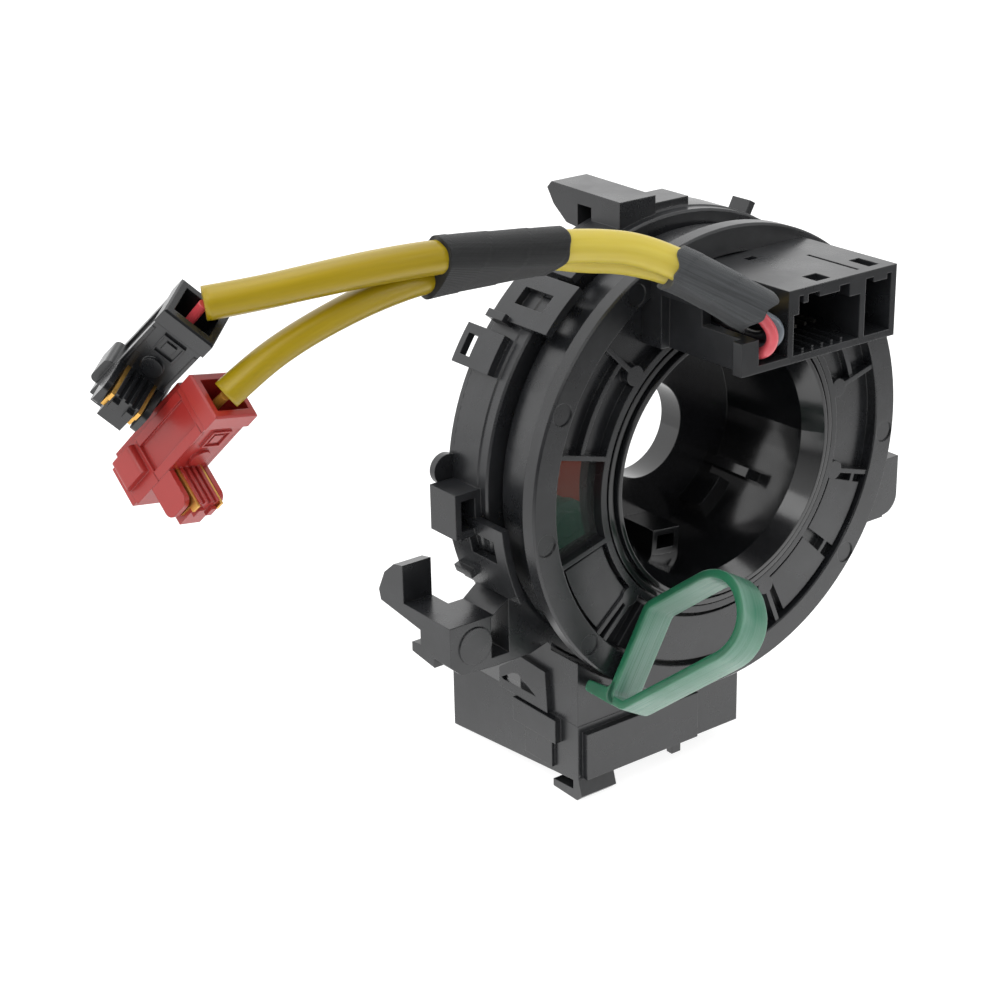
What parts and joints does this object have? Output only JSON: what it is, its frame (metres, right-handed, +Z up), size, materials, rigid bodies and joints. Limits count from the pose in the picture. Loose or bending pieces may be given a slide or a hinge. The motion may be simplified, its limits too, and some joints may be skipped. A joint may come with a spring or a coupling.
{
  "type": "steering clock spring",
  "caption": "Round steering column cable reel: fixed drum with snap arms, turning disc with hub bowl and switch socket, green lock key and two airbag leads.",
  "frame": {"origin": "middle of the shaft bore, on the rotor's axis", "axes": "+Y along the rotor's axis, from the steering wheel's side to the column; +Z up"},
  "size_m": [0.1992, 0.0829, 0.1274],
  "materials": {
    "case_plastic": "satin moulded",
    "smoke_lens": "smoked clear plastic",
    "pin_metal": "tinned",
    "ribbon_film": "polyester film",
    "carrier_plastic": "moulded",
    "roller_plastic": "moulded",
    "key_plastic": "polished moulded",
    "sleeve_vinyl": "extruded vinyl",
    "cloth_tape": "woven tape",
    "red_wire": "extruded",
    "grey_wire": "extruded",
    "yellow_wire": "extruded",
    "dark_wire": "extruded",
    "orange_wire": "extruded",
    "plug_black": "moulded",
    "plug_red": "moulded",
    "gold_contact": "plated"
  },
  "bodies": {
    "stator": {"stator_case": "case_plastic", "rear_cover": "case_plastic", "lower_housing": "case_plastic", "lower_terminals": "pin_metal"},
    "rotor": {"rotor_disc": "case_plastic", "rotor_sleeve": "case_plastic", "window_lens": "smoke_lens", "connector_housing": "case_plastic", "switch_terminals": "pin_metal", "lead_sleeve_a": "sleeve_vinyl", "lead_sleeve_b": "sleeve_vinyl", "tape_wrap_1": "cloth_tape", "tape_wrap_2": "cloth_tape", "bay_wire_red": "red_wire", "bay_wire_grey": "grey_wire", "bay_wire_yellow": "yellow_wire", "bay_wire_dark": "dark_wire", "black_plug_body": "plug_black", "black_plug_cover": "plug_black", "black_plug_contacts": "gold_contact", "black_plug_wire": "red_wire", "red_plug_body": "plug_red", "red_plug_cover": "plug_red", "red_plug_contacts": "gold_contact", "red_plug_wire": "orange_wire"},
    "carrier": {"roller_carrier": "carrier_plastic", "ribbon_cable": "ribbon_film"},
    "key": {"lock_key": "key_plastic"},
    "roller_1": {"guide_roller_1": "roller_plastic"},
    "roller_2": {"guide_roller_2": "roller_plastic"},
    "roller_3": {"guide_roller_3": "roller_plastic"},
    "roller_4": {"guide_roller_4": "roller_plastic"},
    "roller_5": {"guide_roller_5": "roller_plastic"},
    "roller_6": {"guide_roller_6": "roller_plastic"}
  },
  "joints": [
    {"name": "rotor_turn", "type": "hinge", "parent": "stator", "child": "rotor", "pos_m": [0, 0, 0], "axis": [0, 1, 0], "range_deg": [-900, 900]},
    {"name": "carrier_turn", "type": "hinge", "parent": "stator", "child": "carrier", "pos_m": [0, 0, 0], "axis": [0, 1, 0], "range_deg": [-374.8, 374.8]},
    {"name": "key_pull", "type": "slide", "parent": "rotor", "child": "key", "axis": [0, -1, 0], "range_m": [0, 0.03]},
    {"name": "roller_1_spin", "type": "hinge", "parent": "carrier", "child": "roller_1", "pos_m": [-0.03379, 0, -0.00718], "axis": [0, 1, 0], "range_deg": [-2586, 2586]},
    {"name": "roller_2_spin", "type": "hinge", "parent": "carrier", "child": "roller_2", "pos_m": [-0.01068, 0, -0.03286], "axis": [0, 1, 0], "range_deg": [-2586, 2586]},
    {"name": "roller_3_spin", "type": "hinge", "parent": "carrier", "child": "roller_3", "pos_m": [0.02312, 0, -0.02568], "axis": [0, 1, 0], "range_deg": [-2586, 2586]},
    {"name": "roller_4_spin", "type": "hinge", "parent": "carrier", "child": "roller_4", "pos_m": [0.03379, 0, 0.00718], "axis": [0, 1, 0], "range_deg": [-2586, 2586]},
    {"name": "roller_5_spin", "type": "hinge", "parent": "carrier", "child": "roller_5", "pos_m": [0.01068, 0, 0.03286], "axis": [0, 1, 0], "range_deg": [-2586, 2586]},
    {"name": "roller_6_spin", "type": "hinge", "parent": "carrier", "child": "roller_6", "pos_m": [-0.02312, 0, 0.02568], "axis": [0, 1, 0], "range_deg": [-2586, 2586]}
  ],
  "couplings": [
    {"joint": "carrier_turn", "follows": "rotor_turn", "ratio": 0.41534},
    {"joint": "roller_1_spin", "follows": "rotor_turn", "ratio": -2.8683},
    {"joint": "roller_2_spin", "follows": "rotor_turn", "ratio": -2.8683},
    {"joint": "roller_3_spin", "follows": "rotor_turn", "ratio": -2.8683},
    {"joint": "roller_4_spin", "follows": "rotor_turn", "ratio": -2.8683},
    {"joint": "roller_5_spin", "follows": "rotor_turn", "ratio": -2.8683},
    {"joint": "roller_6_spin", "follows": "rotor_turn", "ratio": -2.8683}
  ]
}
